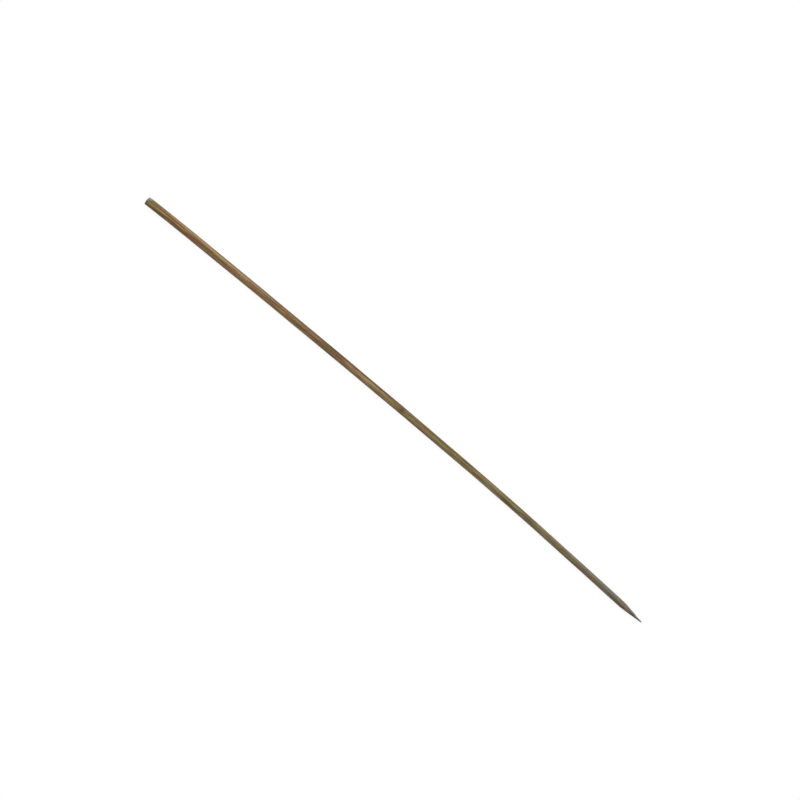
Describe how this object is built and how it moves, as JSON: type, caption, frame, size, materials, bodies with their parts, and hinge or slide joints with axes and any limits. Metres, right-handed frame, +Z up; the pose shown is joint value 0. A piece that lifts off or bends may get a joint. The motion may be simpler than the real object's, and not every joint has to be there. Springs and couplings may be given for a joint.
{
  "type": "bamboo skewer",
  "caption": "Round bamboo skewer, sawn square at one end and ground to a needle point at the other, slightly bowed, lying on its side.",
  "frame": {"origin": "on the surface it lies on, under the middle of its box", "axes": "+X along the skewer towards the point, +Y to the side it bows to, +Z up"},
  "size_m": [0.3, 0.0062, 0.0031],
  "materials": {
    "bamboo": "planed bamboo, unvarnished, satin along the fibres"
  },
  "bodies": {
    "root": {"skewer": "bamboo"}
  },
  "joints": []
}
